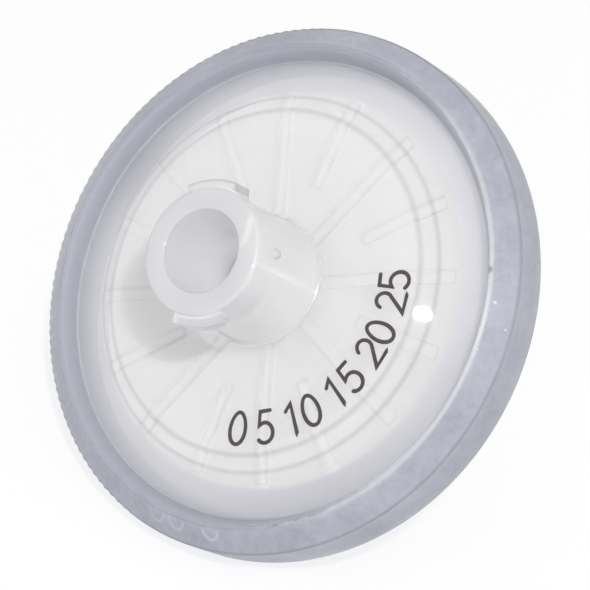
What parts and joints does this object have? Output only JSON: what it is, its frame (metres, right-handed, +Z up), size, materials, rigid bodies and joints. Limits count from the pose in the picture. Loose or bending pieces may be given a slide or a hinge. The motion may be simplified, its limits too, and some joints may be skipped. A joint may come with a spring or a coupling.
{
  "type": "syringe filter",
  "caption": "Round membrane syringe filter: female Luer-lock inlet on a ribbed housing, overmoulded rim ring, male Luer slip outlet.",
  "frame": {"origin": "on the ground under the middle of the filter's box, as it rests on the end of its outlet tip and the edge of its ring", "axes": "+Z up; +Y along the ring's level diameter, the longest extent; the filter's own axis leans from +Z towards +X, with the inlet port up"},
  "size_m": [0.0218, 0.028, 0.021],
  "materials": {
    "ring_plastic": "translucent grey-blue polypropylene, softly frosted",
    "inlet_plastic": "natural translucent polypropylene",
    "membrane_film": "white filter membrane, matt",
    "outlet_plastic": "natural translucent polypropylene",
    "print_ink": "dark pad-printed ink"
  },
  "bodies": {
    "root": {"overmould_ring": "ring_plastic", "inlet_housing": "inlet_plastic", "membrane": "membrane_film", "outlet_housing": "outlet_plastic"}
  },
  "joints": []
}
